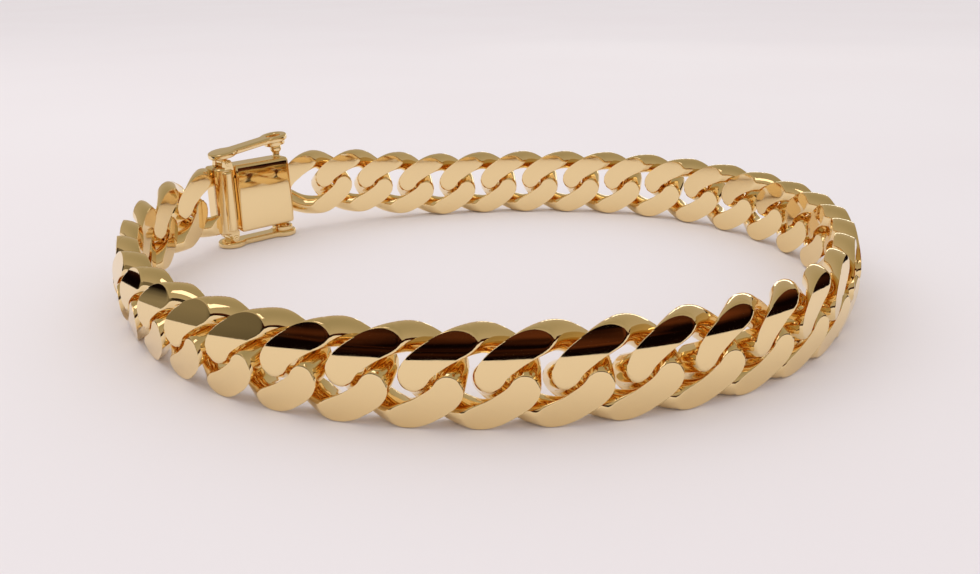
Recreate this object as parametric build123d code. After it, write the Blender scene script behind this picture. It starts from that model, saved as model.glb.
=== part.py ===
from build123d import *
import os
from math import cos, pi, radians, tan

# A cuban link bracelet in polished gold, standing on its edge as a closed loop.
# Thirty-seven twisted, flattened links interlock. The first and the last are
# soldered to the two halves of a box clasp, and a small latch above and below
# the box swings over a ball to keep the clasp shut.
# Millimetres, +Z up, the loop's middle at X = Y = 0, the surface at Z = 0.

# The band
band_height = 7.7            # over the wires, upright
band_thickness = 2.2         # between the two polished faces
wire_diameter = 2.1
link_count = 37              # counts the two links that are soldered to the clasp
link_pitch = 5.2             # mean distance from link to link
pitch_slack = 0.13           # how far a joint is pulled out or pushed together
pulled_place = 0.86          # share of the chain where the joints are pulled out most
link_gap = 0.23              # between two bends at the most pulled joint

# Corners of a quarter of a link's centreline, rounded by arcs. Columns: share of
# the link's half length, share of its half height, share of the wire's diameter.
link_corners = {
    "shoulder": (0.308, 1.0, 0.4),
    "end": (1.0, 0.346, 0.832),
}
arc_share = 0.342            # of the shorter run beside a corner, taken by its arc

# The clasp
box_length = 7.0
box_thickness = 3.0
box_edge_radius = 0.4
block_length = 2.0           # of the end block on the tongue's side
block_bulge = 0.35           # how far its rounded bar stands out of the inner face
clasp_gap = 0.4              # between end block and box
tongue_link_reach = 1.2      # from the first link's middle to the end block
box_link_reach = 3.5         # from the last link's middle to the box
solder_depth = 0.3
tongue_length = 4.2
tongue_height = 4.6
tongue_thickness = 1.0
tongue_clearance = 0.15

# The two latches
latch_thickness = 0.65
latch_lobe_radius = 1.55
latch_waist_width = 1.9
latch_edge_radius = 0.2
latch_clearance = 0.1
knuckle_radius = 0.4
pin_diameter = 0.4
hinge_inset = 1.5            # from the block's outer end to the hinge's axis
latch_tail = 1.35            # from the hinge's axis to the end of the latch
catch_inset = 1.0            # from the box's outer end to the ball's middle
catch_ball_radius = 0.65
catch_neck_radius = 0.4
catch_proud = 0.05           # the ball stands this much out of the shut latch
catch_clearance = 0.15
top_latch_angle = 8.0        # the upper latch stands open by this much

# The loop seen from above, anticlockwise from the clasp's middle.
route = [
    (-28.1, 17.3),
    (-31.4, 13.2),
    (-34.7, 1.4),
    (-32.6, -8.4),
    (-27.6, -16.8),
    (-20.3, -23.9),
    (-11.1, -28.3),
    (-0.9, -29.9),
    (9.3, -28.8),
    (18.9, -24.9),
    (26.6, -18.2),
    (31.8, -9.3),
    (34.0, 0.8),
    (32.6, 11.0),
    (27.3, 19.8),
    (19.0, 25.8),
    (9.0, 28.4),
    (-1.3, 28.4),
    (-11.4, 26.4),
    (-20.9, 22.6),
]
lift_run = 18.0              # over which the band comes down from the clasp to the surface

half_length = (link_pitch + pitch_slack + wire_diameter + link_gap) / 2
half_height = (band_height - wire_diameter) / 2
knuckle_height = knuckle_radius + latch_clearance      # of the hinge's axis over the clasp's edge
latch_level = knuckle_height + knuckle_radius + latch_clearance
clasp_lift = latch_level + latch_thickness + catch_proud
body_length = block_length + clasp_gap + box_length
clasp_span = tongue_link_reach + body_length + box_link_reach


def corner(name):
    """A corner of the quarter link: along the band, up, and outward."""
    along, across, through = link_corners[name]
    return Vector(along * half_length, across * half_height, -through * wire_diameter)


def arc_radius(before, point, after):
    """The radius that rounds a corner over arc_share of the shorter run."""
    back, ahead = before - point, after - point
    turn = 180 - back.get_angle(ahead)
    return arc_share * min(back.length, ahead.length) / tan(radians(turn / 2))


def quarter_link():
    """A quarter of a link's wire, from the middle of the top to the bend's middle."""
    shoulder, end = corner("shoulder"), corner("end")
    top = Vector(0, half_height, 0)
    bend = Vector(half_length, 0, 0)
    # each radius is worked out on whole runs, past the two points of symmetry
    mirrored_shoulder = Vector(-shoulder.X, shoulder.Y, -shoulder.Z)
    mirrored_end = Vector(end.X, -end.Y, -end.Z)
    radii = [
        arc_radius(mirrored_shoulder, shoulder, end),
        arc_radius(shoulder, end, mirrored_end),
    ]
    line = FilletPolyline(top, shoulder, end, bend, radius=radii)
    section = Plane(origin=top, z_dir=shoulder - top) * Circle(wire_diameter / 2)
    return sweep(section, path=line)


def full_link():
    """One twisted oval link with its two flat faces, in its own frame."""
    quarter = quarter_link()
    half = quarter + quarter.rotate(Axis.Y, 180)
    ring = half + half.rotate(Axis.X, 180)
    slab = Box(4 * half_length, 2 * band_height, band_thickness)
    return (ring & slab).solid()


def joint_pitches():
    """The distance over each joint of the chain, from the first link to the last."""
    joints = link_count - 1
    shares = [(i + 0.5) / joints for i in range(joints)]
    return [link_pitch + pitch_slack * cos(2 * pi * (s - pulled_place)) for s in shares]


def loop_line():
    """The closed line of the band, as long as the chain and the clasp together."""
    def closed(scale):
        points = [(scale * x, scale * y) for x, y in route]
        return Spline(*points, periodic=True)

    needed = sum(joint_pitches()) + clasp_span
    scale = 1.0
    for _ in range(3):
        scale *= needed / closed(scale).length
    return closed(scale)


def lift_at(distance):
    """How high the band stands, and its slope, so far along from a soldered link."""
    down = min(distance / lift_run, 1.0)
    height = clasp_lift * (1 - 3 * down**2 + 2 * down**3)
    return height, clasp_lift * 6 * (down**2 - down) / lift_run


def upright(point, along, height, slope=0.0):
    """A frame on the band: X along it, Y up its height, Z out of the loop."""
    flat = Vector(along.X, along.Y, 0).normalized()
    origin = Vector(point.X, point.Y, height + band_height / 2)
    outward = Vector(flat.Y, -flat.X, 0)
    return Plane(origin=origin, x_dir=flat + Vector(0, 0, slope), z_dir=outward)


def band_frames():
    """The frames of all links, the two soldered ones included, and the clasp's frame."""
    line = loop_line()
    total = line.length
    start = body_length / 2 + tongue_link_reach
    places = [start]
    for pitch in joint_pitches():
        places.append(places[-1] + pitch)
    frames = []
    for place in places:
        falling, slope = lift_at(place - start)
        rising, back_slope = lift_at(places[-1] - place)
        frames.append(upright(
            line.position_at(place / total),
            line.tangent_at(place / total),
            falling + rising,
            slope - back_slope,
        ))
    first = line.position_at(places[0] / total)
    last = line.position_at(places[-1] / total)
    share = (box_link_reach + body_length / 2) / clasp_span
    return frames, upright(last + (first - last) * share, first - last, clasp_lift)


def bar_along(length, radius, x, y):
    """A round bar through the band's thickness, at one place of the clasp."""
    return Pos(x, y, 0) * Cylinder(radius, length)


def end_link(link, side):
    """What stands out of a soldered link; side is 1 at the tongue and -1 at the box."""
    face = side * body_length / 2
    keep = Pos(face + side * (3 * half_length - solder_depth), 0, 0) * Box(
        6 * half_length, 2 * band_height, 2 * band_height
    )
    return link & keep


def catch(edge):
    """The ball on its neck that a latch closes over; edge is 1 above, -1 below."""
    x = hinge_x - latch_reach
    base = band_height / 2
    level = base + clasp_lift - catch_ball_radius
    neck_height = level - base + solder_depth
    neck = Pos(x, base - solder_depth + neck_height / 2, 0) * Rot(90, 0, 0) * Cylinder(
        catch_neck_radius, neck_height
    )
    shape = neck + Pos(x, level, 0) * Sphere(catch_ball_radius)
    return shape if edge > 0 else shape.rotate(Axis.X, 180)


def knuckle(length, z):
    """A length of the hinge's tube, standing on the clasp's upper edge."""
    level = band_height / 2 + knuckle_height
    tube = Pos(hinge_x, level, z) * Cylinder(knuckle_radius, length)
    foot_height = knuckle_height + solder_depth
    foot = Pos(hinge_x, level - foot_height / 2, z) * Box(2 * knuckle_radius, foot_height, length)
    return tube + foot


def latch_plate():
    """The upper latch, shut: a plate like a figure eight with a knuckle under it."""
    tail_middle = hinge_x + latch_tail - latch_lobe_radius
    head_middle = hinge_x - latch_reach
    plane = Plane.XZ.offset(-(band_height / 2 + latch_level))
    lobes = Pos(tail_middle, 0) * Circle(latch_lobe_radius)
    lobes += Pos(head_middle, 0) * Circle(latch_lobe_radius)
    waist_length = tail_middle - head_middle
    lobes += Pos((tail_middle + head_middle) / 2, 0) * Rectangle(waist_length, latch_waist_width)
    plate = extrude(plane * lobes, amount=-latch_thickness)
    rims = plate.edges().group_by(Axis.Y)
    plate = fillet(rims[0] + rims[-1], latch_edge_radius)
    level = band_height / 2 + latch_level + latch_thickness / 2
    ring = Pos(head_middle, level, 0) * Rot(90, 0, 0) * Cylinder(
        catch_ball_radius + catch_clearance, 2 * latch_thickness
    )
    plate -= ring
    knuckle_top = band_height / 2 + latch_level + latch_edge_radius
    axis_level = band_height / 2 + knuckle_height
    barrel = Pos(hinge_x, axis_level, 0) * Cylinder(knuckle_radius, middle_knuckle)
    web_height = knuckle_top - axis_level
    web = Pos(hinge_x, axis_level + web_height / 2, 0) * Box(
        2 * knuckle_radius, web_height, middle_knuckle
    )
    bore = bar_along(2 * box_thickness, pin_diameter / 2 + latch_clearance / 2, hinge_x, axis_level)
    return (plate + barrel + web - bore).solid()


def hinge(edge):
    """The two outer knuckles on the block with the pin through them."""
    level = band_height / 2 + knuckle_height
    z = (box_thickness - outer_knuckle) / 2
    shape = knuckle(outer_knuckle, z) + knuckle(outer_knuckle, -z)
    shape += bar_along(box_thickness, pin_diameter / 2, hinge_x, level)
    return shape if edge > 0 else shape.rotate(Axis.X, 180)


def rounded_case(length, x):
    """A bar of the clasp's section with softened long edges."""
    case = Box(length, band_height, box_thickness)
    case = fillet(case.edges(), box_edge_radius)
    return Pos(x, 0, 0) * case


def clasp_tongue(link):
    """The end block with its tongue, its hinges and the first link."""
    block_x = body_length / 2 - block_length / 2
    shape = rounded_case(block_length, block_x)
    bar_height = band_height - 2 * box_edge_radius
    bar_radius = block_length / 2 - box_edge_radius
    bar = Pos(block_x, 0, -(box_thickness / 2 + block_bulge - bar_radius)) * Rot(90, 0, 0) * Cylinder(
        bar_radius, bar_height
    )
    shape += bar
    length = tongue_length + clasp_gap + solder_depth
    tongue_x = body_length / 2 - block_length + solder_depth - length / 2
    shape += Pos(tongue_x, 0, 0) * Box(length, tongue_height, tongue_thickness)
    shape += end_link(link, 1)
    shape += hinge(1) + hinge(-1)
    return shape.solid()


def clasp_box(link):
    """The box with its slot, its two catches and the last link."""
    box_x = -body_length / 2 + box_length / 2
    shape = rounded_case(box_length, box_x)
    slot_length = tongue_length + 2 * tongue_clearance
    slot = Box(
        2 * slot_length,
        tongue_height + 2 * tongue_clearance,
        tongue_thickness + 2 * tongue_clearance,
    )
    shape -= Pos(-body_length / 2 + box_length, 0, 0) * slot
    shape += end_link(link, -1)
    shape += catch(1) + catch(-1)
    return shape.solid()


hinge_x = body_length / 2 - hinge_inset
latch_reach = body_length - hinge_inset - catch_inset
outer_knuckle = box_thickness / 4
middle_knuckle = box_thickness - 2 * outer_knuckle - 2 * latch_clearance
hinge_axis = Axis((hinge_x, band_height / 2 + knuckle_height, 0), (0, 0, 1))


def make_parts():
    """Every node's solid in its place, and the clasp's frame."""
    link = full_link()
    frames, clasp_frame = band_frames()
    parts = {}
    for number, frame in enumerate(frames[1:-1], start=2):
        parts[f"link_{number:02d}"] = frame.location * link
    latch = latch_plate()
    to_clasp = clasp_frame.location.inverse()
    first, last = (to_clasp * frames[end].location * link for end in (0, -1))
    parts["clasp_tongue"] = clasp_frame.location * clasp_tongue(first)
    parts["clasp_box"] = clasp_frame.location * clasp_box(last)
    parts["latch_top"] = clasp_frame.location * latch.rotate(hinge_axis, -top_latch_angle)
    parts["latch_bottom"] = clasp_frame.location * latch.rotate(Axis.X, 180)
    return parts, clasp_frame


def centred(parts, clasp_frame):
    """The same, moved so that the middle of the parts' box is over the origin."""
    box = Compound(list(parts.values())).bounding_box()
    move = Vector(-box.center().X, -box.center().Y, -box.min.Z)
    clasp_frame = Plane(
        origin=clasp_frame.origin + move, x_dir=clasp_frame.x_dir, z_dir=clasp_frame.z_dir
    )
    return {node: Pos(move) * solid for node, solid in parts.items()}, clasp_frame


parts, clasp_frame = centred(*make_parts())
os.makedirs("parts", exist_ok=True)
for node, solid in parts.items():
    export_step(solid, f"parts/{node}.step")

print("clasp's middle", clasp_frame.origin, "along", clasp_frame.x_dir)
for name, edge in (("top", 1), ("bottom", -1)):
    axis_point = Vector(hinge_x, edge * (band_height / 2 + knuckle_height), 0)
    print("hinge", name, clasp_frame.from_local_coords(axis_point), "axis", clasp_frame.z_dir)
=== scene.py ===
import math

import bmesh
import bpy
import numpy as np
from mathutils import Matrix, Quaternion, Vector


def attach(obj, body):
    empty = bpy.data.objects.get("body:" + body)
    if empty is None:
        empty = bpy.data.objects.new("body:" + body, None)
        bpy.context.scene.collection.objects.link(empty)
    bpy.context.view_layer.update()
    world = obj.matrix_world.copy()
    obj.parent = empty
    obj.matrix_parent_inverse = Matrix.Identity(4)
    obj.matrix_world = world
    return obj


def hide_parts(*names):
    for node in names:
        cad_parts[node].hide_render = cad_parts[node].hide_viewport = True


# A cuban link bracelet in polished yellow gold, standing on its edge as a closed loop.
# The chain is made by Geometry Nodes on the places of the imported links, the clasp and
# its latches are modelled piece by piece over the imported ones.

mm = 0.001

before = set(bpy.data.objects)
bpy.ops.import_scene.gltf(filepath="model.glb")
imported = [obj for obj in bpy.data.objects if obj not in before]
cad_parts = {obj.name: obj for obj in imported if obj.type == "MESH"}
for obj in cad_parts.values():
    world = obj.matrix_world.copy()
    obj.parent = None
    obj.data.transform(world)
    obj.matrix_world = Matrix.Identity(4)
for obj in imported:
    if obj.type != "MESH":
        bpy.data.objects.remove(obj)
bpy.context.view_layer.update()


# Helpers

def linearFromHex(text, alpha=1.0):
    # sRGB hex to the linear colour that shaders want
    channels = [int(text[i:i + 2], 16) / 255 for i in (1, 3, 5)]
    return [c / 12.92 if c <= 0.04045 else ((c + 0.055) / 1.055) ** 2.4 for c in channels] + [alpha]


def addNode(tree, kind, settings=None, inputs=None, links=None):
    # settings are the node's own fields, inputs its socket values, links {socket: (node, output)}
    node = tree.nodes.new(kind)
    for key, value in (settings or {}).items():
        setattr(node, key, value)
    for key, value in (inputs or {}).items():
        node.inputs[key].default_value = value
    for key, (source, output) in (links or {}).items():
        tree.links.new(source.outputs[output], node.inputs[key])
    return node


def newTree(material):
    material.use_nodes = True
    material.node_tree.nodes.clear()
    return material.node_tree


def meshObject(name, mesh, material=None):
    piece = bpy.data.objects.new(name, mesh)
    bpy.context.scene.collection.objects.link(piece)
    if material:
        mesh.materials.append(material)
    return piece


def evaluatedMesh(carrier):
    # the object's mesh with its modifiers applied; the object itself goes
    graph = bpy.context.evaluated_depsgraph_get()
    made = bpy.data.meshes.new_from_object(carrier.evaluated_get(graph))
    bpy.data.objects.remove(carrier)
    return made


def triangleCount(piece):
    return sum(len(face.vertices) - 2 for face in piece.data.polygons)


# Materials

gold = {
    "colour": "#F5DBA6",
    "roughness": 0.03,
    "roughnessSpread": 0.025,
    "polishWave": 0.9 * mm,       # length of the faint waves that hand polishing leaves
    "polishDepth": 0.0016 * mm,
    "smearSize": 2.5 * mm,
}


def polishedGold(name, shade=gold):
    # 14 karat yellow gold, buffed to a mirror: sharp reflections that bend a little in
    # the waves of the buffing, and a faint smear of wax here and there
    material = bpy.data.materials.new(name)
    tree = newTree(material)
    place = addNode(tree, "ShaderNodeTexCoord")
    waves = addNode(tree, "ShaderNodeTexNoise", inputs={"Scale": 1 / shade["polishWave"], "Detail": 1.0},
                    links={"Vector": (place, "Object")})
    bump = addNode(tree, "ShaderNodeBump", inputs={"Strength": 1.0, "Distance": shade["polishDepth"]},
                   links={"Height": (waves, "Fac")})
    smear = addNode(tree, "ShaderNodeTexNoise", inputs={"Scale": 1 / shade["smearSize"], "Detail": 3.0},
                    links={"Vector": (place, "Object")})
    low = shade["roughness"]
    rough = addNode(tree, "ShaderNodeMapRange",
                    inputs={"From Min": 0.35, "From Max": 0.75, "To Min": low,
                            "To Max": low + shade["roughnessSpread"]},
                    links={"Value": (smear, "Fac")})
    surface = addNode(tree, "ShaderNodeBsdfPrincipled",
                      inputs={"Base Color": linearFromHex(shade["colour"]), "Metallic": 1.0},
                      links={"Roughness": (rough, "Result"), "Normal": (bump, "Normal")})
    addNode(tree, "ShaderNodeOutputMaterial", links={"Surface": (surface, "BSDF")})
    return material


floorLook = {"colour": "#ECE8E8", "cloud": "#E9E3E3", "roughness": 0.9, "gloss": 0.1}


def paperFloor():
    # smooth white card: even and matt, with a faint cloudiness
    material = bpy.data.materials.new("white card")
    tree = newTree(material)
    place = addNode(tree, "ShaderNodeTexCoord")
    cloud = addNode(tree, "ShaderNodeTexNoise", inputs={"Scale": 14.0, "Detail": 2.0},
                    links={"Vector": (place, "Object")})
    tone = addNode(tree, "ShaderNodeMix", settings={"data_type": "RGBA"},
                   inputs={"A": linearFromHex(floorLook["colour"]), "B": linearFromHex(floorLook["cloud"])},
                   links={"Factor": (cloud, "Fac")})
    surface = addNode(tree, "ShaderNodeBsdfPrincipled",
                      inputs={"Roughness": floorLook["roughness"], "Specular IOR Level": floorLook["gloss"]},
                      links={"Base Color": (tone, "Result")})
    addNode(tree, "ShaderNodeOutputMaterial", links={"Surface": (surface, "BSDF")})
    return material


goldMaterial = polishedGold("polished gold")
print("materials made")


# Camera, floor and light

photo = {"width": 980, "height": 574, "focal": 932.6, "axisHeight": 276.9}   # pixels
cameraPlace = {"x": 0.435 * mm, "y": -87.995 * mm, "z": 31.356 * mm, "pitch": 19.037, "roll": 0.791}


def makeCamera():
    data = bpy.data.cameras.new("camera")
    data.sensor_width = 36.0
    data.lens = data.sensor_width * photo["focal"] / photo["width"]
    data.shift_y = (photo["axisHeight"] - photo["height"] / 2) / photo["width"]
    data.clip_start = 1 * mm
    data.clip_end = 10.0
    camera = bpy.data.objects.new("camera", data)
    bpy.context.scene.collection.objects.link(camera)
    bpy.context.scene.camera = camera
    tilt = Matrix.Rotation(math.radians(90 - cameraPlace["pitch"]), 4, "X")
    roll = Matrix.Rotation(math.radians(-cameraPlace["roll"]), 4, "Z")
    camera.matrix_world = Matrix.Translation([cameraPlace[k] for k in "xyz"]) @ tilt @ roll


def makeFloor():
    mesh = bpy.data.meshes.new("floor")
    shape = bmesh.new()
    bmesh.ops.create_circle(shape, cap_ends=True, segments=96, radius=2.0)
    shape.to_mesh(mesh)
    shape.free()
    floor = meshObject("floor", mesh, paperFloor())


# a soft lamp from the upper left: its place and size in millimetres
studio = {
    "key": {"place": (-190, 60, 310), "size": (240, 240), "watts": 0.16, "colour": "#FFFBFC"},
}
# what the polished metal sees of the room, from the horizon up to straight above
ceiling = [(0.0, "#BBAE9C"), (0.12, "#B9AD9A"), (0.45, "#B3A892"), (1.0, "#A29982")]
daylight = {"colour": "#FBF8FA", "strength": 0.99}
# two windows, seen only in the metal: the middle and the size across and up, in millimetres
cards = {
    "windowFront": {"place": (-100, -130, 195), "size": (100, 110), "colour": "#FFF0EA", "strength": 1.8},
    "windowBack": {"place": (90, 270, 32), "size": (190, 34), "colour": "#FFFFF4", "strength": 2.3},
}
# a low dark strip round the front of the loop, glowing and seen only in the metal, that paints dark
# reflections into the gold facets: where it begins, in millimetres from the loop's middle, and how olive it
# is, by the angle from straight right
darkStrip = {"near": [(-186, 49.0), (-166, 48.0), (-148, 50.0), (-128, 54.5), (-90, 56.0), (38, 56.0)],
             "olive": [(-177, 0.0), (-169, 1.0), (-152, 0.7), (-138, 0.45), (-131, 0.0)],
             "width": 39.0, "height": 14.0, "lift": 0.4, "steps": 75,
             "blackColour": "#0A0303", "brownColour": "#6E3A20", "oliveColour": "#8E8470",
             "streakScale": (12.0, 50.0, 90.0), "streakRange": (0.46, 0.78)}


def aim(item, place):
    item.location = Vector(place) * mm
    item.rotation_euler = (-Vector(place)).to_track_quat("-Z", "Y").to_euler()


def makeLights():
    for name, lamp in studio.items():
        data = bpy.data.lights.new(name, "AREA")
        data.shape = "RECTANGLE"
        data.size, data.size_y = (side * mm for side in lamp["size"])
        data.energy = lamp["watts"]
        data.color = linearFromHex(lamp["colour"])[:3]
        item = bpy.data.objects.new(name, data)
        bpy.context.scene.collection.objects.link(item)
        aim(item, lamp["place"])
        item.visible_glossy = False


def glowMaterial(name, colour, strength):
    material = bpy.data.materials.new(name)
    tree = newTree(material)
    glow = addNode(tree, "ShaderNodeEmission", inputs={"Color": linearFromHex(colour), "Strength": strength})
    addNode(tree, "ShaderNodeOutputMaterial", links={"Surface": (glow, "Emission")})
    return material


def onlyReflected(item):
    item.visible_camera = False
    item.visible_diffuse = False
    item.visible_shadow = False
    item.visible_transmission = False


def makeCards():
    for name, card in cards.items():
        mesh = bpy.data.meshes.new(name)
        shape = bmesh.new()
        bmesh.ops.create_grid(shape, x_segments=1, y_segments=1, size=0.5)
        bmesh.ops.scale(shape, vec=(card["size"][0] * mm, card["size"][1] * mm, 1), verts=shape.verts)
        shape.to_mesh(mesh)
        shape.free()
        item = meshObject(name, mesh, glowMaterial(name, card["colour"], card["strength"]))
        aim(item, card["place"])
        onlyReflected(item)


def makePaintedReflectionStrip():
    # a painted reflection: a glowing sheet, seen only in the metal, that lies on the surface in front of the
    # loop and stands up at its far edge: black where it begins, brown further off, in long soft streaks, and
    # olive at the left, mirrored as dark bands in the facets
    strip = darkStrip
    given = np.array(strip["near"])
    angles = np.linspace(given[0, 0], given[-1, 0], strip["steps"])
    near = np.interp(angles, given[:, 0], given[:, 1])
    far = near + strip["width"]
    rows = [(near, strip["lift"]), (far, strip["lift"]), (far, strip["height"])]
    points = [(r * math.cos(math.radians(a)) * mm, r * math.sin(math.radians(a)) * mm, z * mm)
              for radii, z in rows for r, a in zip(radii, angles)]
    count = len(angles)
    faces = [(row + i, row + i + 1, row + i + 1 + count, row + i + count)
             for row in (0, count) for i in range(count - 1)]
    mesh = bpy.data.meshes.new("darkStrip")
    mesh.from_pydata(points, [], faces)
    olive = np.tile(np.interp(angles, *np.array(strip["olive"]).T), len(rows)).astype(np.float32)
    mesh.attributes.new("olive", "FLOAT", "POINT").data.foreach_set("value", olive)
    material = bpy.data.materials.new("dark strip")
    tree = newTree(material)
    place = addNode(tree, "ShaderNodeTexCoord")
    across = addNode(tree, "ShaderNodeVectorMath", {"operation": "LENGTH"}, links={0: (place, "Object")})
    nearest = near.max()
    off = addNode(tree, "ShaderNodeMapRange",
                  inputs={"From Min": nearest * mm, "From Max": (nearest + strip["width"]) * mm},
                  links={"Value": (across, "Value")})
    stretch = addNode(tree, "ShaderNodeMapping", inputs={"Scale": strip["streakScale"]},
                      links={"Vector": (place, "Object")})
    streaks = addNode(tree, "ShaderNodeTexNoise", inputs={"Scale": 1.0, "Detail": 2.0},
                      links={"Vector": (stretch, "Vector")})
    low, high = strip["streakRange"]
    patch = addNode(tree, "ShaderNodeMapRange", inputs={"From Min": low, "From Max": high},
                    links={"Value": (streaks, "Fac")})
    spread = addNode(tree, "ShaderNodeMath", {"operation": "MULTIPLY"},
                     links={0: (off, "Result"), 1: (patch, "Result")})
    # painted reflection colours, glowing rather than lit: black near the loop, brown further off, olive at
    # the left
    black, brown = (linearFromHex(strip[key]) for key in ("blackColour", "brownColour"))
    tone = addNode(tree, "ShaderNodeMix", settings={"data_type": "RGBA"}, inputs={"A": black, "B": brown},
                   links={"Factor": (spread, "Value")})
    share = addNode(tree, "ShaderNodeAttribute", {"attribute_name": "olive"})
    whole = addNode(tree, "ShaderNodeMix", settings={"data_type": "RGBA"},
                    inputs={"B": linearFromHex(strip["oliveColour"])},
                    links={"Factor": (share, "Fac"), "A": (tone, "Result")})
    glow = addNode(tree, "ShaderNodeEmission", inputs={"Strength": 1.0}, links={"Color": (whole, "Result")})
    addNode(tree, "ShaderNodeOutputMaterial", links={"Surface": (glow, "Emission")})
    onlyReflected(meshObject("darkStrip", mesh, material))


def makeWorld():
    world = bpy.data.worlds.new("studio")
    bpy.context.scene.world = world
    world.use_nodes = True
    tree = world.node_tree
    tree.nodes.clear()
    place = addNode(tree, "ShaderNodeTexCoord")
    split = addNode(tree, "ShaderNodeSeparateXYZ", links={"Vector": (place, "Generated")})
    ramp = addNode(tree, "ShaderNodeValToRGB", links={"Fac": (split, "Z")})
    while len(ramp.color_ramp.elements) < len(ceiling):
        ramp.color_ramp.elements.new(0.5)
    for element, (position, colour) in zip(ramp.color_ramp.elements, ceiling):
        element.position = position
        element.color = linearFromHex(colour)
    room = addNode(tree, "ShaderNodeBackground", inputs={"Strength": 1.0}, links={"Color": (ramp, "Color")})
    even = addNode(tree, "ShaderNodeBackground",
                   inputs={"Color": linearFromHex(daylight["colour"]), "Strength": daylight["strength"]})
    # the room shows in metal that is looked at; metal that lights the surface sees daylight
    path = addNode(tree, "ShaderNodeLightPath")
    direct = addNode(tree, "ShaderNodeMath", {"operation": "LESS_THAN"}, {1: 0.5},
                     {0: (path, "Diffuse Depth")})
    mirrored = addNode(tree, "ShaderNodeMath", {"operation": "MULTIPLY"},
                       links={0: (path, "Is Glossy Ray"), 1: (direct, "Value")})
    both = addNode(tree, "ShaderNodeMixShader", links={"Fac": (mirrored, "Value"), 1: (even, "Background"),
                                                       2: (room, "Background")})
    addNode(tree, "ShaderNodeOutputWorld", links={"Surface": (both, "Shader")})


makeCamera()
makeFloor()
makeWorld()
makeLights()
makeCards()
makePaintedReflectionStrip()
bpy.context.scene.view_settings.view_transform = "Standard"
bpy.context.scene.cycles.glossy_bounces = 9      # light goes deep into the gaps between the links
print("camera, floor and light made")


# The chain

link = {
    "halfLength": 3.83,           # in millimetres, of the wire's own line
    "halfHeight": 2.75,
    "wire": 2.22,                 # the wire's diameter
    "shoulder": (0.308, 1.0, 0.4),      # corners of a quarter, as shares of the three sizes above
    "end": (1.0, 0.346, 0.832),
    "bend": 0.42,                 # share of the shorter run beside a corner that its bend takes
    "drawn": 720,                 # points that the line is drawn with before it is smoothed
    "smoothing": 60,              # passes
    "stations": 104,              # rings along the finished wire
    "faceRows": 9,                # rows over half a polished face
    "sideRows": 15,               # rows over the wire between the two faces
    "leastSide": 0.3,             # radians that the side keeps where the faces meet
    "faceHalf": 1.17,             # from the band's middle to the polished face, at mid height
    "faceRadius": {1: 15.0, -1: 70.0},   # of the dome, on the loop's outer and inner side
    "edge": 0.18,                 # how far the polishing rounds the faces' edges
}


def cornerLoop(shape):
    # the eight corners of one link's line, from the quarter's two by its two half turns
    size = np.array([shape["halfLength"], shape["halfHeight"], -shape["wire"]])
    shoulder, end = (np.array(shape[key]) * size for key in ("shoulder", "end"))
    aboutX = np.array([1, -1, -1])
    aboutY = np.array([-1, 1, -1])
    quarter = [shoulder, end]
    right = quarter + [p * aboutX for p in reversed(quarter)]
    return np.array(right + [p * aboutY for p in reversed(right)])


def roundedLoop(corners, share, samples=40):
    # each corner becomes a short parabola between two straight runs
    points = []
    for i, corner in enumerate(corners):
        back, ahead = corners[i - 1] - corner, corners[(i + 1) % len(corners)] - corner
        reach = share * min(np.linalg.norm(back), np.linalg.norm(ahead))
        start, stop = (corner + reach * v / np.linalg.norm(v) for v in (back, ahead))
        t = np.linspace(0, 1, samples)[:, None]
        points.append((1 - t) ** 2 * start + 2 * t * (1 - t) * corner + t ** 2 * stop)
    return np.concatenate(points)


def evenly(loop, count):
    closed = np.vstack([loop, loop[:1]])
    along = np.concatenate([[0], np.cumsum(np.linalg.norm(np.diff(closed, axis=0), axis=1))])
    wanted = np.linspace(0, along[-1], count, endpoint=False)
    return np.stack([np.interp(wanted, along, closed[:, k]) for k in range(3)], 1)


def smoothed(loop, passes):
    for _ in range(passes):
        loop = 0.25 * np.roll(loop, 1, 0) + 0.5 * loop + 0.25 * np.roll(loop, -1, 0)
    return loop


def faceLimit(height, shape, side):
    return shape["faceHalf"] - height ** 2 / (2 * shape["faceRadius"][side])


def cutAngles(centre, outward, across, shape, side):
    # where each ring of wire goes through the polished face, as an angle from outward,
    # looked for degree by degree
    first, last = 12, 168
    angles = np.radians(np.linspace(first, last, last - first + 1))
    radius = shape["wire"] / 2
    ring = (centre[:, None] + radius * (np.cos(angles)[None, :, None] * outward[:, None]
                                        + np.sin(angles)[None, :, None] * across[:, None]))
    over = side * ring[..., 2] - faceLimit(ring[..., 1], shape, side) > 0
    return np.radians(first) + np.radians(1.0) * over.sum(1)


def wireLoop(shape):
    # a closed sweep whose edge rows run along the edges of the polished faces
    drawn = evenly(roundedLoop(cornerLoop(shape), shape["bend"]), shape["drawn"])
    line = evenly(smoothed(drawn, shape["smoothing"]), shape["stations"])
    tangent = np.roll(line, -1, 0) - np.roll(line, 1, 0)
    tangent /= np.linalg.norm(tangent, axis=1)[:, None]
    outward = np.array([0, 0, 1.0]) - tangent[:, 2:3] * tangent
    outward /= np.linalg.norm(outward, axis=1)[:, None]
    across = np.cross(tangent, outward)
    overFace = np.linspace(0, 1, shape["faceRows"])[:, None]
    overSide = np.linspace(0, 1, shape["sideRows"])[:, None]
    rings = []
    for sign in (1, -1):
        front = cutAngles(line, outward, sign * across, shape, 1)
        back = np.pi - cutAngles(line, -outward, sign * across, shape, -1)
        back = np.maximum(back, front + shape["leastSide"])
        spread = [overFace[:-1] * front, front + overSide[:-1] * (back - front),
                  back + overFace * (np.pi - back)]
        rings.append(sign * np.concatenate(spread))
    angles = np.concatenate([rings[0][:-1], rings[1][::-1][:-1]])
    radius = shape["wire"] / 2
    points = line + radius * (np.cos(angles)[..., None] * outward + np.sin(angles)[..., None] * across)
    return points.transpose(1, 0, 2)


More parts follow.
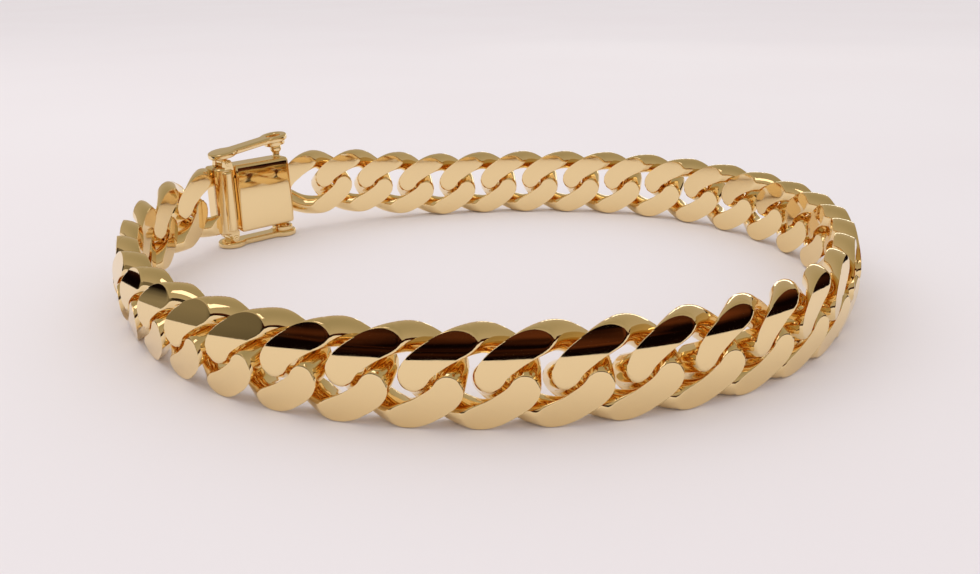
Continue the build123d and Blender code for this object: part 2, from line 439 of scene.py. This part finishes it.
def linkMesh(shape):
    points = wireLoop(shape)
    stations, sides = points.shape[:2]
    index = np.arange(stations * sides).reshape(stations, sides)
    a, b = index, np.roll(index, -1, 0)
    faces = np.stack([a, np.roll(a, -1, 1), np.roll(b, -1, 1), b], -1).reshape(-1, 4)
    mesh = bpy.data.meshes.new("wireLink")
    mesh.from_pydata((points.reshape(-1, 3) * mm).tolist(), [], faces.tolist())
    mesh.update()
    return mesh


def signedVolumes(tri):
    return np.einsum("ij,ij->i", tri[:, 0], np.cross(tri[:, 1], tri[:, 2])) / 6


def placeOfNode(name):
    # middle and turn of a packed link, from its mesh: its three main axes are its own
    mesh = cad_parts[name].data
    places = np.zeros(len(mesh.vertices) * 3)
    mesh.vertices.foreach_get("co", places)
    mesh.calc_loop_triangles()
    corners = np.zeros(len(mesh.loop_triangles) * 3, int)
    mesh.loop_triangles.foreach_get("vertices", corners)
    tri = places.reshape(-1, 3)[corners].reshape(-1, 3, 3)
    volume = signedVolumes(tri)
    middle = (volume[:, None] * tri.sum(1)).sum(0) / (4 * volume.sum())
    tri = tri - middle
    volume = signedVolumes(tri)
    total = tri.sum(1)
    spread = (np.einsum("n,nia,nib->ab", volume, tri, tri)
              + np.einsum("n,na,nb->ab", volume, total, total)) / 20
    axes = np.linalg.eigh(spread)[1]
    outward, up = axes[:, 0], axes[:, 1]
    up = up * np.sign(up[2])
    outward = outward * np.sign(outward @ np.array([middle[0], middle[1], 0]))
    along = np.cross(up, outward)
    turn = Matrix(np.stack([along, up, outward], 1).tolist()).to_quaternion()
    return middle, turn


def placesMesh(names):
    mesh = bpy.data.meshes.new("places")
    found = [placeOfNode(name) for name in names]
    mesh.from_pydata([list(middle) for middle, _ in found], [], [])
    turns = mesh.attributes.new("turn", "QUATERNION", "POINT")
    turns.data.foreach_set("value", np.array([list(turn) for _, turn in found], np.float32).ravel())
    return mesh


def chainTree():
    # polishes two domed faces on the wire link, then sets one on each place
    tree = bpy.data.node_groups.new("polishedChain", "GeometryNodeTree")
    face = tree.interface
    face.new_socket("Places", in_out="INPUT", socket_type="NodeSocketGeometry")
    face.new_socket("Link", in_out="INPUT", socket_type="NodeSocketObject")
    for name in ("Face half", "Outer radius", "Inner radius", "Edge"):
        face.new_socket(name, in_out="INPUT", socket_type="NodeSocketFloat")
    face.new_socket("Gold", in_out="INPUT", socket_type="NodeSocketMaterial")
    face.new_socket("Chain", in_out="OUTPUT", socket_type="NodeSocketGeometry")
    start = addNode(tree, "NodeGroupInput")
    wire = addNode(tree, "GeometryNodeObjectInfo", links={"Object": (start, "Link")})
    place = addNode(tree, "GeometryNodeInputPosition")
    axes = addNode(tree, "ShaderNodeSeparateXYZ", links={"Vector": (place, "Position")})
    square = addNode(tree, "ShaderNodeMath", {"operation": "MULTIPLY"},
                     links={0: (axes, "Y"), 1: (axes, "Y")})
    limits = []
    for radius in ("Outer radius", "Inner radius"):
        twice = addNode(tree, "ShaderNodeMath", {"operation": "MULTIPLY"}, {1: 2.0}, {0: (start, radius)})
        dome = addNode(tree, "ShaderNodeMath", {"operation": "DIVIDE"},
                       links={0: (square, 0), 1: (twice, 0)})
        limits.append(addNode(tree, "ShaderNodeMath", {"operation": "SUBTRACT"},
                              links={0: (start, "Face half"), 1: (dome, 0)}))
    front = addNode(tree, "ShaderNodeMath", {"operation": "SMOOTH_MIN"},
                    links={0: (axes, "Z"), 1: (limits[0], 0), 2: (start, "Edge")})
    other = addNode(tree, "ShaderNodeMath", {"operation": "MULTIPLY"}, {1: -1.0}, {0: (limits[1], 0)})
    both = addNode(tree, "ShaderNodeMath", {"operation": "SMOOTH_MAX"},
                   links={0: (front, 0), 1: (other, 0), 2: (start, "Edge")})
    moved = addNode(tree, "ShaderNodeCombineXYZ", links={"X": (axes, "X"), "Y": (axes, "Y"), "Z": (both, 0)})
    polished = addNode(tree, "GeometryNodeSetPosition",
                       links={"Geometry": (wire, "Geometry"), "Position": (moved, "Vector")})
    smooth = addNode(tree, "GeometryNodeSetShadeSmooth", links={0: (polished, "Geometry")})
    turn = addNode(tree, "GeometryNodeInputNamedAttribute", {"data_type": "QUATERNION"}, {"Name": "turn"})
    placed = addNode(tree, "GeometryNodeInstanceOnPoints",
                     links={"Points": (start, "Places"), "Instance": (smooth, 0),
                            "Rotation": (turn, "Attribute")})
    real = addNode(tree, "GeometryNodeRealizeInstances", links={"Geometry": (placed, "Instances")})
    coloured = addNode(tree, "GeometryNodeSetMaterial",
                       links={"Geometry": (real, "Geometry"), "Material": (start, "Gold")})
    addNode(tree, "NodeGroupOutput", links={"Chain": (coloured, "Geometry")})
    return tree


def setInputs(modifier, values):
    # a modifier's input goes by its socket's identifier
    for item in modifier.node_group.interface.items_tree:
        if item.item_type == "SOCKET" and item.in_out == "INPUT" and item.name in values:
            modifier[item.identifier] = values[item.name]


def madeByNodes(name, mesh, tree, values):
    carrier = meshObject(name + "Maker", mesh)
    modifier = carrier.modifiers.new("make", "NODES")
    modifier.node_group = tree
    setInputs(modifier, values)
    return meshObject(name, evaluatedMesh(carrier))


def linkValues(wire):
    # what the chain's tree asks for, by the names of its inputs
    return {"Link": wire, "Face half": link["faceHalf"] * mm, "Outer radius": link["faceRadius"][1] * mm,
            "Inner radius": link["faceRadius"][-1] * mm, "Edge": link["edge"] * mm, "Gold": goldMaterial}


def makeChain():
    # in stretches of twelve links, each a piece of its own
    wire = meshObject("wireLink", linkMesh(link))
    tree, values = chainTree(), linkValues(wire)
    start = "link_"
    names = sorted(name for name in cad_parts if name.startswith(start))
    stretch = 12
    for first in range(0, len(names), stretch):
        group = names[first:first + stretch]
        low, high = (name[len(start):] for name in (group[0], group[-1]))
        piece = madeByNodes("chain_" + low + "_" + high, placesMesh(group), tree, values)
        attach(piece, "root")
        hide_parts(*group)
        print(piece.name, triangleCount(piece), "triangles")
    bpy.data.objects.remove(wire)


makeChain()
print("chain made")


# The clasp, in its own frame: x along the band to the end block, y up, z out of the loop

claspPlace = {"middle": (-27.0667, 17.2912, 5.55), "along": (-0.72816, -0.685407, 0.0),
              "out": (-0.685407, 0.72816, 0.0)}
clasp = {
    # all in millimetres, places from the clasp's middle
    "halfHeight": 3.85, "halfThickness": 1.5, "edge": 0.32,
    "sharpAngle": 38.0,           # in degrees: faces that meet at more than this stay sharp
    # the end block with its rounded bar
    "blockEnd": 4.7, "blockFace": 2.7, "cornerRadius": 1.2,
    "barPlace": 3.45, "barRadius": 0.6, "barDepth": 1.25, "barHalf": 3.45, "barEdge": 0.25,
    "tongue": {"from": -1.9, "to": 3.0, "halfHeight": 2.3, "halfThickness": 0.5},
    # the box with its slot
    "boxFace": 2.3, "boxEnd": -4.7, "endRadii": (0.5, 0.55), "slotHalf": (2.45, 0.65), "slotDepth": 4.5,
    "bellyFrom": -2.7, "bellyRadius": 57.0,      # its inner face leans back above here
    # the hinges and their pins
    "hinge": (3.2, 4.35), "knuckle": 0.4, "bore": 0.25, "pin": 0.2, "pinProud": 0.06,
    "outerKnuckle": (0.75, 1.5), "innerKnuckle": 0.65, "knuckleEdge": 0.08,
    "footSpread": 1.35, "footSink": 0.3, "footSetback": 0.04,
    # the catch balls, with collars as shares of the neck
    "catch": (-3.7, 4.9), "ball": 0.65, "neck": 0.4, "collars": (1.5, 1.12), "collarTops": (0.1, 0.25),
    "catchSink": 0.2,
}
# links soldered to the two halves: the middle's place, the turn in degrees, and where it is cut off
soldered = {"first": {"at": 5.8343, "turn": 16.97, "cut": 4.2},
            "last": {"at": -8.1087, "turn": -12.93, "cut": -4.3}}
latch = {"low": 4.85, "thickness": 0.65, "edge": 0.2, "lobe": 1.55, "tailMiddle": 3.0, "headMiddle": -3.7,
         "waist": 0.95, "flare": 0.8, "hole": 0.8, "sink": 0.2,
         "socket": (1.2, 0.86), "socketHeight": 0.5, "socketEdge": 0.12,
         "webShare": 0.8, "webFoot": 0.28,       # the web between the plate and its knuckle
         "open": 8.0}                            # degrees that the upper one rests open


def sectionLoop(low, high, radii, inset, slot, steps=7):
    # a rectangle across y with four round corners; its first side is split at the slot
    least = 0.02
    points = [(high[0] - inset, -slot), (high[0] - inset, slot)]
    corners = [(high[0], high[1], 1, 1), (low[0], high[1], -1, 1),
               (low[0], low[1], -1, -1), (high[0], low[1], 1, -1)]
    for quarter, ((x, z, sideX, sideZ), radius) in enumerate(zip(corners, radii)):
        r = max(radius - inset, least)
        for t in np.radians(np.linspace(90 * quarter, 90 * quarter + 90, steps)):
            points.append((x - sideX * (inset + r) + r * math.cos(t),
                           z - sideZ * (inset + r) + r * math.sin(t)))
    return points


def addShell(shape, loops):
    # closed rings of points, one above the other, with a face at each end
    rings = [[shape.verts.new(point) for point in loop] for loop in loops]
    count = len(rings[0])
    columns = [[shape.faces.new((low[i], low[(i + 1) % count], high[(i + 1) % count], high[i]))
                for i in range(count)] for low, high in zip(rings, rings[1:])]
    shape.faces.new(rings[0][::-1])
    shape.faces.new(rings[-1])
    return columns


def addCase(shape, low, high, radii, levels, belly=False):
    # a block of the clasp's section with its edges polished round
    edge, top = clasp["edge"], clasp["halfHeight"]
    turns = np.radians(np.linspace(90, 0, 6))
    rows = [(-top + edge * (1 - math.sin(t)), edge * (1 - math.cos(t))) for t in turns]
    rows += [(y, 0.0) for y in levels] + [(-y, inset) for y, inset in reversed(rows)]
    loops = []
    for y, inset in rows:
        lean = max(0.0, y - clasp["bellyFrom"]) ** 2 / (2 * clasp["bellyRadius"]) if belly else 0.0
        near = (low[0], low[1] + lean)
        loops.append([(x, y, z) for x, z in sectionLoop(near, high, radii, inset, clasp["slotHalf"][1])])
    return addShell(shape, loops), [y for y, _ in rows]


def addTurned(shape, profile, middle, axis, tube=False, steps=40):
    # a turned piece: profile holds (radius, place along the axis)
    turn = Vector((0, 0, 1)).rotation_difference(Vector(axis))
    rings = []
    angles = np.linspace(0, 2 * math.pi, steps + 1)[:-1]
    for radius, along in profile:
        ring = [(radius * math.cos(t), radius * math.sin(t), along) for t in angles]
        rings.append([shape.verts.new(turn @ Vector(p) + Vector(middle)) for p in ring])
    pairs = list(zip(rings, rings[1:])) + ([(rings[-1], rings[0])] if tube else [])
    for low, high in pairs:
        for i in range(steps):
            shape.faces.new((low[i], low[(i + 1) % steps], high[(i + 1) % steps], high[i]))
    if not tube:
        shape.faces.new(rings[0][::-1])
        shape.faces.new(rings[-1])


def rodProfile(radius, low, high, edge):
    turns = np.radians(np.linspace(0, 90, 5))
    bottom = [(radius - edge * (1 - math.sin(t)), low + edge * (1 - math.cos(t))) for t in turns]
    top = [(r, low + high - along) for r, along in reversed(bottom)]
    return bottom + top


def tubeProfile(radius, bore, low, high, edge):
    outer = rodProfile(radius, low, high, edge)
    return outer + [(bore, high - edge / 2), (bore, low + edge / 2)]


def addHinge(shape, side):
    # the two outer knuckles with their feet, and the pin with its domed ends
    c = clasp
    x, level = c["hinge"]
    inner, outer = c["outerKnuckle"]
    r, edge, back = c["knuckle"], c["knuckleEdge"], c["footSetback"]
    middle, upright = (x, side * level, 0), (0, 0, 1)
    wide, base = r * c["footSpread"], side * (c["halfHeight"] - c["footSink"])
    foot = [(x - wide, base), (x + wide, base), (x + r, side * level), (x - r, side * level)]
    for end in (-1, 1):
        low, high = sorted((end * inner, end * outer))
        addTurned(shape, rodProfile(r, low, high, edge), middle, upright)
        addShell(shape, [[(px, py, z) for px, py in foot] for z in (low + back, high - back)])
    half = outer + c["pinProud"]
    addTurned(shape, rodProfile(c["pin"], -half, half, edge), middle, upright)


def addCatch(shape, side):
    # a ball on a waisted neck; what stands already keeps its place
    for v in shape.verts:
        v.tag = True
    x, level = clasp["catch"]
    ball, neck, base = clasp["ball"], clasp["neck"], clasp["halfHeight"]
    wide, narrow = (share * neck for share in clasp["collars"])
    lower, upper = (base + top for top in clasp["collarTops"])
    joint = math.asin(neck / ball)
    profile = [(wide, base - clasp["catchSink"]), (wide, base), (narrow, lower),
               (neck, upper), (neck, level - ball * math.cos(joint))]
    profile += [(ball * math.sin(t), level - ball * math.cos(t))
                for t in np.linspace(joint, math.pi - 0.02, 22)[1:]]
    addTurned(shape, profile, (0, 0, 0), (0, 1, 0))
    for v in shape.verts:
        if not v.tag:
            v.co = (v.co.x + x, side * v.co.y, side * v.co.z)


def solderedLink(which, wire, tree, values):
    # the chain's own link, set askew and cut off inside the metal it is soldered to
    place = soldered[which]
    mesh = bpy.data.meshes.new("solderedPlace")
    mesh.from_pydata([(place["at"] * mm, 0, 0)], [], [])
    turn = np.array(list(Quaternion((0, 1, 0), math.radians(place["turn"]))), np.float32)
    mesh.attributes.new("turn", "QUATERNION", "POINT").data.foreach_set("value", turn)
    piece = madeByNodes("soldered", mesh, tree, values)
    shape = bmesh.new()
    shape.from_mesh(piece.data)
    bpy.data.objects.remove(piece)
    outward = 1 if place["cut"] > 0 else -1
    bmesh.ops.bisect_plane(shape, geom=shape.verts[:] + shape.edges[:] + shape.faces[:], dist=1e-7,
                           plane_co=(place["cut"] * mm, 0, 0), plane_no=(outward, 0, 0), clear_inner=True)
    bmesh.ops.scale(shape, vec=(1 / mm, 1 / mm, 1 / mm), verts=shape.verts)
    return shape


def claspTurn():
    along, out = Vector(claspPlace["along"]), Vector(claspPlace["out"])
    turn = Matrix((along, (0, 0, 1), out)).transposed().to_4x4()
    return Matrix.Translation(Vector(claspPlace["middle"]) * mm) @ turn @ Matrix.Scale(mm, 4)


def finished(shape, name, node, body, local=Matrix.Identity(4)):
    # into the shared frame, with flat faces shaded flat and round ones smooth
    bmesh.ops.recalc_face_normals(shape, faces=shape.faces)
    mesh = bpy.data.meshes.new(name)
    shape.to_mesh(mesh)
    shape.free()
    mesh.transform(claspTurn() @ local)
    mesh.shade_smooth()
    mesh.set_sharp_from_angle(angle=math.radians(clasp["sharpAngle"]))
    carrier = meshObject(name + "Maker", mesh)
    weighted = carrier.modifiers.new("weighted", "WEIGHTED_NORMAL")
    weighted.keep_sharp = True
    piece = meshObject(name, evaluatedMesh(carrier), goldMaterial)
    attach(piece, body)
    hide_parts(node)
    print(name, triangleCount(piece), "triangles")


def makeTongue(shape):
    # the end block, its rounded bar, the tongue and the hinges, joined to the first link
    c = clasp
    t = c["halfThickness"]
    radii = [c["edge"], c["edge"], c["edge"], c["cornerRadius"]]
    addCase(shape, (c["blockFace"], -t), (c["blockEnd"], t), radii, (-2.0, 0.0, 2.0))
    bar = rodProfile(c["barRadius"], -c["barHalf"], c["barHalf"], c["barEdge"])
    addTurned(shape, bar, (c["barPlace"], 0, -c["barDepth"]), (0, 1, 0))
    tongue = c["tongue"]
    h, d = tongue["halfHeight"], tongue["halfThickness"]
    section = [(-h, -d), (-h, d), (h, d), (h, -d)]
    addShell(shape, [[(x, y, z) for y, z in section] for x in (tongue["from"], tongue["to"])])
    for side in (1, -1):
        addHinge(shape, side)
    finished(shape, "claspTongue", "clasp_tongue", "root")


def makeBox(shape):
    # the box with its slot and the two catches, joined to the last link
    c = clasp
    t, slot = c["halfThickness"], c["slotHalf"][0]
    radii = [c["edge"], *c["endRadii"], c["edge"]]
    levels = (-slot, -1.2, 0.0, 0.5, 1.0, 1.5, 2.0, slot, 3.0)      # closer together where the face leans
    columns, rows = addCase(shape, (c["boxEnd"], -t), (c["boxFace"], t), radii, levels, belly=True)
    slack = 1e-6
    mouth = [column[0] for column, y in zip(columns, rows) if -slot - slack < y < slot - slack]
    inner = bmesh.ops.extrude_face_region(shape, geom=mouth)
    moved = [item for item in inner["geom"] if isinstance(item, bmesh.types.BMVert)]
    bmesh.ops.translate(shape, vec=(-c["slotDepth"], 0, 0), verts=moved)
    bmesh.ops.delete(shape, geom=[face for face in mouth if face.is_valid], context="FACES_ONLY")
    for side in (1, -1):
        addCatch(shape, side)
    finished(shape, "claspBox", "clasp_box", "root")


def latchOutline():
    # two round lobes, flared into a straight waist
    lobe, flare, waist = latch["lobe"], latch["flare"], latch["waist"]
    height = waist + flare
    reach = math.sqrt((lobe + flare) ** 2 - height ** 2)
    meet = math.atan2(height, -reach)

    def arc(x, z, radius, start, stop, steps):
        angles = np.linspace(start, stop, steps)
        return [(x + radius * math.cos(t), z + radius * math.sin(t)) for t in angles]

    tail, head = latch["tailMiddle"], latch["headMiddle"]
    points = arc(tail, 0, lobe, -meet, meet, 49)
    points += arc(tail - reach, height, flare, meet - math.pi, -math.pi / 2, 9)[1:]
    points += arc(head + reach, height, flare, -math.pi / 2, -meet, 9)
    points += arc(head, 0, lobe, math.pi - meet, math.pi + meet, 49)[1:]
    points += arc(head + reach, -height, flare, meet, math.pi / 2, 9)[1:]
    points += arc(tail - reach, -height, flare, math.pi / 2, math.pi - meet, 9)
    return points


def makeLatch(name, node, local):
    # a plate with a round hole over the ball, a socket under it and the middle knuckle
    plate = bpy.data.curves.new(name, "CURVE")
    plate.dimensions = "2D"
    plate.fill_mode = "BOTH"
    plate.extrude = latch["thickness"] / 2 - latch["edge"]
    plate.bevel_depth = latch["edge"]
    plate.bevel_resolution = 4
    plate.offset = -latch["edge"]
    hole = [(latch["headMiddle"] + latch["hole"] * math.cos(t), latch["hole"] * math.sin(t))
            for t in np.linspace(0, -2 * math.pi, 49)[:-1]]
    for points in (latchOutline()[:-1], hole):
        line = plate.splines.new("POLY")
        line.points.add(len(points) - 1)
        line.points.foreach_set("co", [v for x, z in points for v in (x, z, 0.0, 1.0)])
        line.use_cyclic_u = True
    carrier = meshObject(name + "Plate", plate)
    shape = bmesh.new()
    shape.from_mesh(evaluatedMesh(carrier))
    bmesh.ops.remove_doubles(shape, verts=shape.verts, dist=1e-4)
    lift = Matrix.Translation((0, latch["low"] + latch["thickness"] / 2, 0))
    bmesh.ops.transform(shape, matrix=lift @ Matrix.Rotation(math.radians(90), 4, "X"), verts=shape.verts)
    sunk = latch["low"] + latch["sink"]
    outer, bore = latch["socket"]
    socket = tubeProfile(outer, bore, latch["low"] - latch["socketHeight"], sunk, latch["socketEdge"])
    addTurned(shape, socket, (latch["headMiddle"], 0, 0), (0, 1, 0), tube=True)
    x, level = clasp["hinge"]
    half = clasp["innerKnuckle"]
    knuckle = tubeProfile(clasp["knuckle"], clasp["bore"], -half, half, clasp["knuckleEdge"])
    addTurned(shape, knuckle, (x, level, 0), (0, 0, 1), tube=True)
    r = clasp["knuckle"] * latch["webShare"]
    foot, ends = level + latch["webFoot"], half - clasp["footSetback"]
    web = [(x - r, foot), (x + r, foot), (x + r, sunk), (x - r, sunk)]
    addShell(shape, [[(px, py, z) for px, py in web] for z in (-ends, ends)])
    finished(shape, name, node, node, local)


def makeClasp():
    wire = meshObject("wireLink", linkMesh(link))
    tree, values = chainTree(), linkValues(wire)
    makeTongue(solderedLink("first", wire, tree, values))
    makeBox(solderedLink("last", wire, tree, values))
    bpy.data.objects.remove(wire)
    hinge = Vector((*clasp["hinge"], 0))
    opened = (Matrix.Translation(hinge) @ Matrix.Rotation(math.radians(-latch["open"]), 4, "Z")
              @ Matrix.Translation(-hinge))
    makeLatch("latchTop", "latch_top", opened)
    makeLatch("latchBottom", "latch_bottom", Matrix.Rotation(math.pi, 4, "X"))


makeClasp()
print("clasp made")
